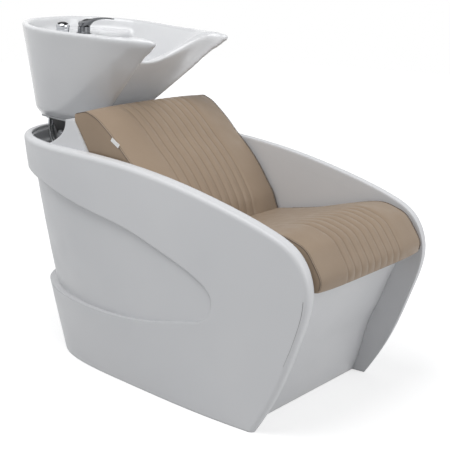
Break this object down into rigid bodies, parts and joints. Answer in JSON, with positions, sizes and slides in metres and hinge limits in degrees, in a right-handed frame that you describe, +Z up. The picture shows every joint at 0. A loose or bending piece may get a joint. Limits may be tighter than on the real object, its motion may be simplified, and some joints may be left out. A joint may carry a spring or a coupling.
{
  "type": "hair washing bed",
  "caption": "Salon backwash seat with a moulded shell, channelled seat and back cushions, and a tilting shampoo basin with mixer tap and hand shower on a steel post.",
  "frame": {"origin": "centre of the whole part's bounding box in plan, at floor level", "axes": "+Z up, the sitter faces -Y, the basin is at +Y, +X is the sitter's left"},
  "size_m": [0.6218, 1.27, 1.0515],
  "materials": {
    "shell_gloss": "pearl white gelcoat",
    "upholstery": "taupe leatherette",
    "basin_white": "glazed white",
    "chrome": "polished",
    "steel_black": "black powder coat",
    "steel_plain": "zinc plated",
    "plywood": "raw plywood",
    "black_plastic": "matte",
    "rubber_dark": "matte",
    "brass_plain": "plated",
    "tag_white": "woven tape"
  },
  "bodies": {
    "base": {"outer_shell": "shell_gloss", "centre_liner": "shell_gloss", "seat_board": "plywood", "back_board": "plywood", "seat_bolts": "steel_plain", "back_bolts": "steel_plain", "seat_cushion": "upholstery", "back_cushion": "upholstery", "side_tag": "tag_white", "front_crossbar": "steel_black", "mid_crossbar": "steel_black", "rear_crossbar": "steel_black", "left_rail": "steel_black", "right_rail": "steel_black", "levelling_feet": "black_plastic", "foot_nuts": "steel_plain", "shell_screws": "steel_plain", "front_stand": "steel_black", "rear_stand": "steel_black", "basin_post": "steel_black", "pivot_saddle": "steel_black", "friction_washers": "black_plastic", "outlet_plate": "steel_black", "waste_outlet": "black_plastic", "valve_bracket": "steel_black", "cold_valve": "chrome", "hot_valve": "chrome", "cold_hose": "rubber_dark", "hot_hose": "rubber_dark"},
    "tilting_basin": {"basin": "basin_white", "right_carrier": "steel_black", "left_carrier": "steel_black", "carrier_bolts": "steel_plain", "pivot_pin": "steel_plain", "pivot_nuts": "steel_plain", "tap_ring": "chrome", "tap_base": "chrome", "tap_cartridge": "brass_plain", "tap_nut": "brass_plain", "shower_socket": "chrome", "socket_nut": "brass_plain", "waste_seal": "rubber_dark", "waste_body": "chrome", "waste_nut": "black_plastic", "hose_ferrules": "chrome"},
    "cap": {"tap_cap": "chrome", "lever_pin": "steel_plain"},
    "lever": {"tap_lever": "chrome"},
    "hand_shower": {"shower_head": "chrome", "spray_plate": "chrome"},
    "strainer": {"waste_strainer": "chrome"},
    "cold_grip": {"cold_handle": "chrome"},
    "hot_grip": {"hot_handle": "chrome"}
  },
  "joints": [
    {"name": "basin_tilt", "type": "hinge", "parent": "base", "child": "tilting_basin", "pos_m": [0, 0.48603, 0.69], "axis": [1, 0, 0], "range_deg": [-20, 0], "deforming": ["cold_hose", "hot_hose"]},
    {"name": "lever_turn", "type": "hinge", "parent": "tilting_basin", "child": "cap", "pos_m": [0.04, 0.49532, 1.02849], "axis": [0, -0.0785, 0.9969], "range_deg": [-50, 50]},
    {"name": "lever_lift", "type": "hinge", "parent": "cap", "child": "lever", "pos_m": [0.04, 0.4891, 1.03101], "axis": [-1, 0, 0], "range_deg": [0, 25]},
    {"name": "shower_lift", "type": "slide", "parent": "tilting_basin", "child": "hand_shower", "axis": [0, -0.0785, 0.9969], "range_m": [0, 0.12]},
    {"name": "strainer_lift", "type": "slide", "parent": "tilting_basin", "child": "strainer", "axis": [0, -0.0785, 0.9969], "range_m": [0, 0.03]},
    {"name": "cold_turn", "type": "hinge", "parent": "base", "child": "cold_grip", "pos_m": [-0.068, 0.36474, 0.4725], "axis": [0, -1, 0], "range_deg": [0, 90]},
    {"name": "hot_turn", "type": "hinge", "parent": "base", "child": "hot_grip", "pos_m": [0.068, 0.36474, 0.4725], "axis": [0, 1, 0], "range_deg": [0, 90]}
  ]
}
